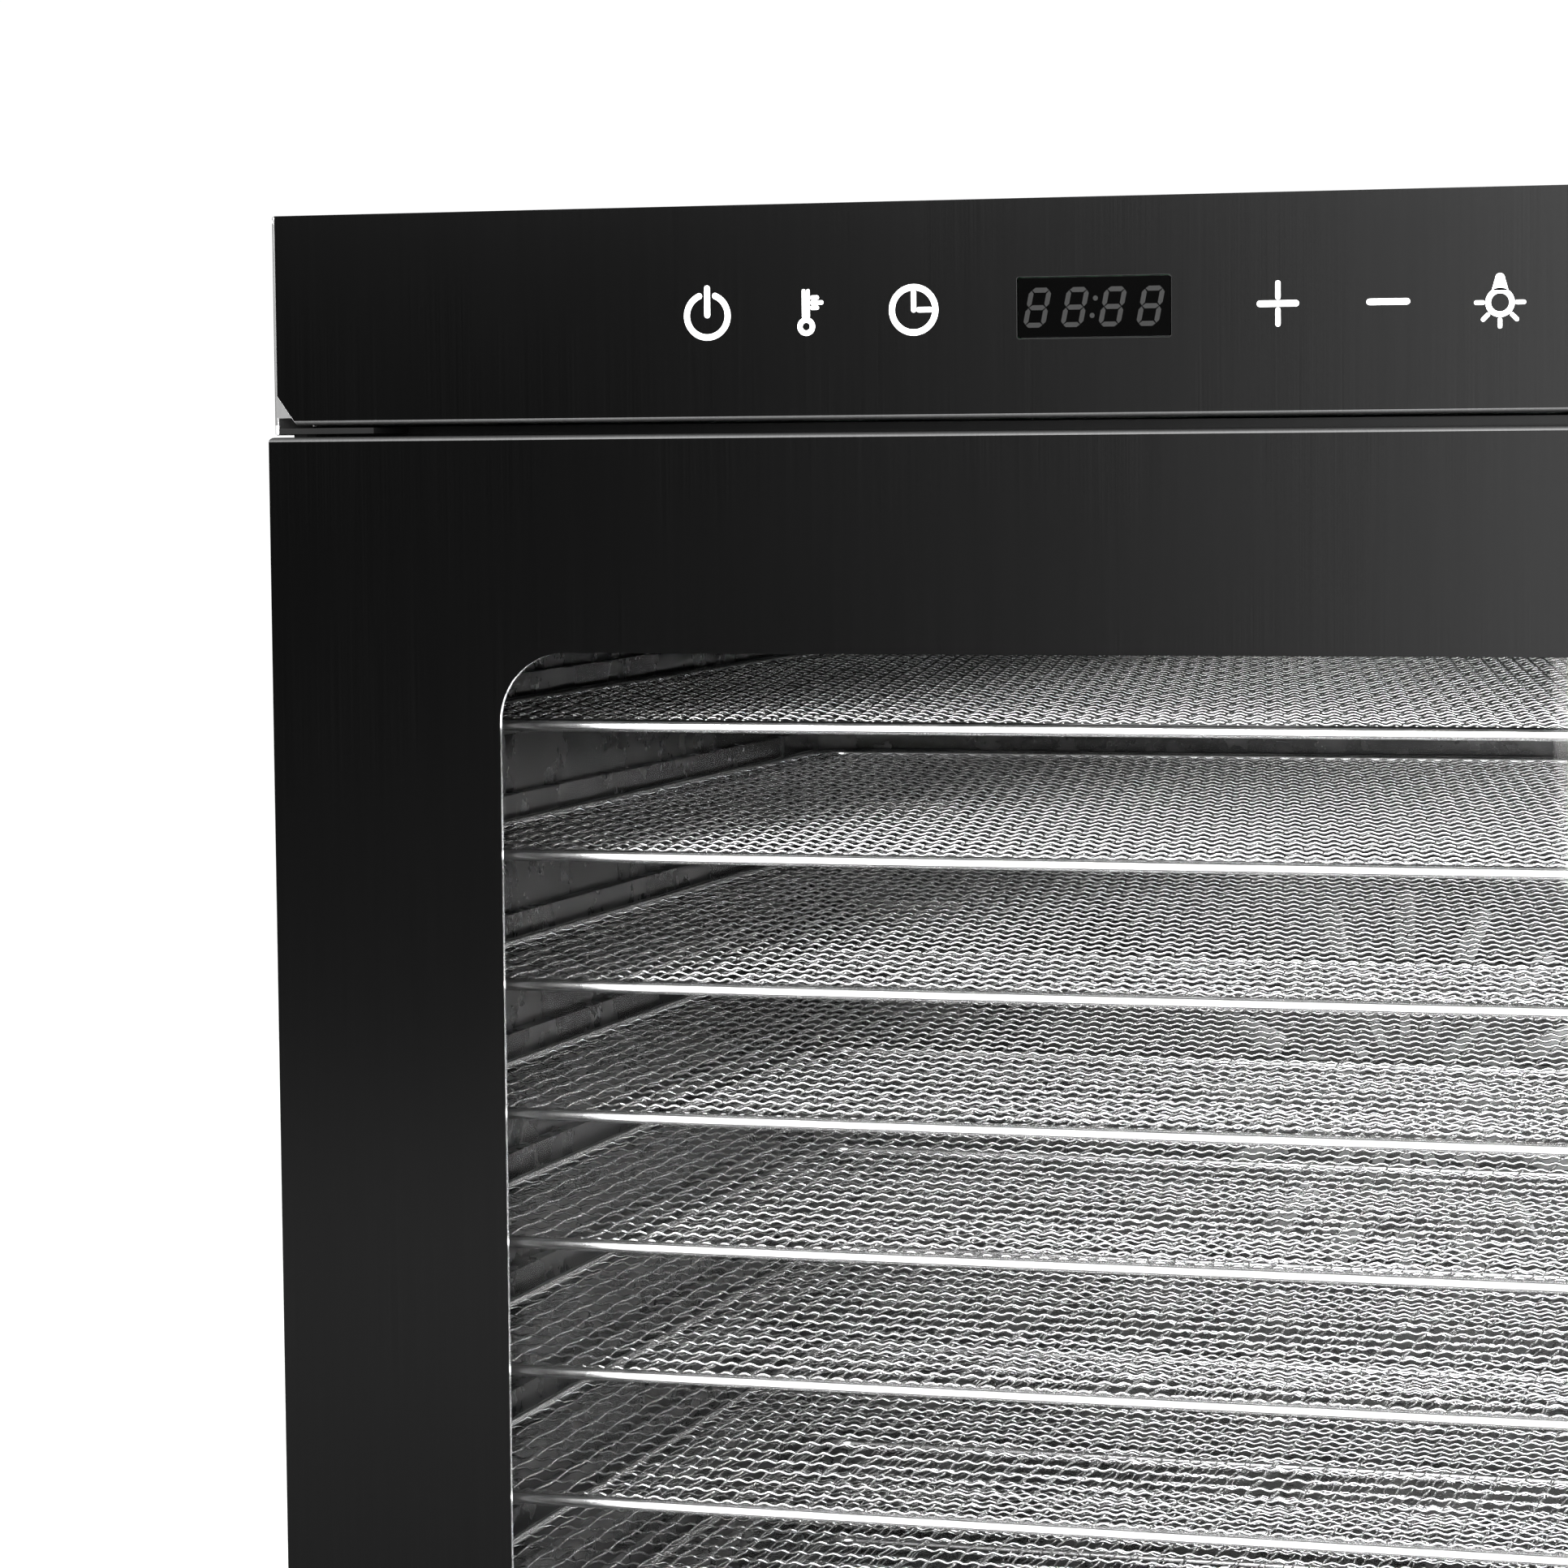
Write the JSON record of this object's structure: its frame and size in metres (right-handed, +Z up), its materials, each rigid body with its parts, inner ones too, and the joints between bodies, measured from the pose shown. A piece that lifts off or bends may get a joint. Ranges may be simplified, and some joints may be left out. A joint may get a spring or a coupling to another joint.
{
  "type": "food dehydrator",
  "caption": "Upright cabinet dryer with a left-hung glazed door, touch-key fascia with a clock display, stacked woven-wire trays on side runners and a rear fan and ring heater.",
  "frame": {"origin": "centre of the bounding box's base: on the floor under the middle of the whole object, handle and mains inlet included", "axes": "+Z up, -Y the side the door faces, +X towards the handle side of the door as seen from the front's right"},
  "size_m": [0.414, 0.56, 0.513],
  "materials": {
    "stainless_panel": "brushed stainless sheet",
    "black_steel": "black brushed sheet with fine vertical grain, satin",
    "galvanised_steel": "galvanised sheet, matte",
    "chrome_wire": "bright polished rod",
    "woven_wire": "bright woven stainless wire",
    "aluminium_sheet": "pressed aluminium, satin",
    "motor_coating": "dark varnish",
    "heater_sheath": "heat-darkened tube",
    "dark_bracket": "dark zinc",
    "polished_handle": "satin polished bar",
    "door_glass": "clear toughened glass",
    "frosted_lens": "frosted cover",
    "smoked_lens": "smoked display cover",
    "black_plastic": "moulded, fine texture",
    "circuit_board": "solder-masked board",
    "gasket_silicone": "soft silicone",
    "black_rubber": "moulded rubber"
  },
  "bodies": {
    "cabinet": {"left_side_panel": "stainless_panel", "right_side_panel": "stainless_panel", "top_cover": "stainless_panel", "base_pan": "galvanised_steel", "front_frame": "stainless_panel", "rear_panel": "stainless_panel", "front_left_foot": "black_rubber", "front_right_foot": "black_rubber", "rear_left_foot": "black_rubber", "rear_right_foot": "black_rubber", "control_fascia": "black_steel", "display_window": "smoked_lens", "display_module": "black_plastic", "touch_board": "circuit_board", "left_runner_panel": "stainless_panel", "right_runner_panel": "stainless_panel", "liner_floor": "stainless_panel", "liner_ceiling": "stainless_panel", "rear_baffle": "stainless_panel", "lamp_lens": "frosted_lens", "lamp_board": "circuit_board", "temperature_probe": "stainless_panel", "motor_plate": "galvanised_steel", "fan_motor": "motor_coating", "heating_element": "heater_sheath", "power_board": "circuit_board", "power_inlet": "black_plastic", "lower_hinge_bracket": "dark_bracket", "upper_hinge_bracket": "dark_bracket", "catch_magnet": "dark_bracket"},
    "door": {"door_outer_frame": "black_steel", "door_glass": "door_glass", "glass_retainer": "dark_bracket", "door_inner_panel": "stainless_panel", "door_gasket": "gasket_silicone", "door_handle": "polished_handle"},
    "fan": {"motor_shaft": "stainless_panel", "fan_impeller": "aluminium_sheet"},
    "drip_tray": {"drip_tray": "stainless_panel"},
    "tray_01": {"tray_01_frame": "chrome_wire", "tray_01_mesh": "woven_wire"},
    "tray_02": {"tray_02_frame": "chrome_wire", "tray_02_mesh": "woven_wire"},
    "tray_03": {"tray_03_frame": "chrome_wire", "tray_03_mesh": "woven_wire"},
    "tray_04": {"tray_04_frame": "chrome_wire", "tray_04_mesh": "woven_wire"},
    "tray_05": {"tray_05_frame": "chrome_wire", "tray_05_mesh": "woven_wire"},
    "tray_06": {"tray_06_frame": "chrome_wire", "tray_06_mesh": "woven_wire"},
    "tray_07": {"tray_07_frame": "chrome_wire", "tray_07_mesh": "woven_wire"},
    "tray_08": {"tray_08_frame": "chrome_wire", "tray_08_mesh": "woven_wire"},
    "tray_09": {"tray_09_frame": "chrome_wire", "tray_09_mesh": "woven_wire"},
    "tray_10": {"tray_10_frame": "chrome_wire", "tray_10_mesh": "woven_wire"}
  },
  "joints": [
    {"name": "door_hinge", "type": "hinge", "parent": "cabinet", "child": "door", "pos_m": [-0.201, -0.233, 0.2415], "axis": [0, 0, -1], "range_deg": [0, 120]},
    {"name": "fan_spin", "type": "hinge", "parent": "cabinet", "child": "fan", "pos_m": [0, 0.21, 0.2455], "axis": [0, 1, 0], "continuous": true},
    {"name": "drip_tray_slide", "type": "slide", "parent": "cabinet", "child": "drip_tray", "axis": [0, -1, 0], "range_m": [0, 0.005]},
    {"name": "tray_01_slide", "type": "slide", "parent": "cabinet", "child": "tray_01", "axis": [0, -1, 0], "range_m": [0, 0.008]},
    {"name": "tray_02_slide", "type": "slide", "parent": "cabinet", "child": "tray_02", "axis": [0, -1, 0], "range_m": [0, 0.008]},
    {"name": "tray_03_slide", "type": "slide", "parent": "cabinet", "child": "tray_03", "axis": [0, -1, 0], "range_m": [0, 0.008]},
    {"name": "tray_04_slide", "type": "slide", "parent": "cabinet", "child": "tray_04", "axis": [0, -1, 0], "range_m": [0, 0.008]},
    {"name": "tray_05_slide", "type": "slide", "parent": "cabinet", "child": "tray_05", "axis": [0, -1, 0], "range_m": [0, 0.008]},
    {"name": "tray_06_slide", "type": "slide", "parent": "cabinet", "child": "tray_06", "axis": [0, -1, 0], "range_m": [0, 0.008]},
    {"name": "tray_07_slide", "type": "slide", "parent": "cabinet", "child": "tray_07", "axis": [0, -1, 0], "range_m": [0, 0.008]},
    {"name": "tray_08_slide", "type": "slide", "parent": "cabinet", "child": "tray_08", "axis": [0, -1, 0], "range_m": [0, 0.008]},
    {"name": "tray_09_slide", "type": "slide", "parent": "cabinet", "child": "tray_09", "axis": [0, -1, 0], "range_m": [0, 0.008]},
    {"name": "tray_10_slide", "type": "slide", "parent": "cabinet", "child": "tray_10", "axis": [0, -1, 0], "range_m": [0, 0.008]}
  ]
}
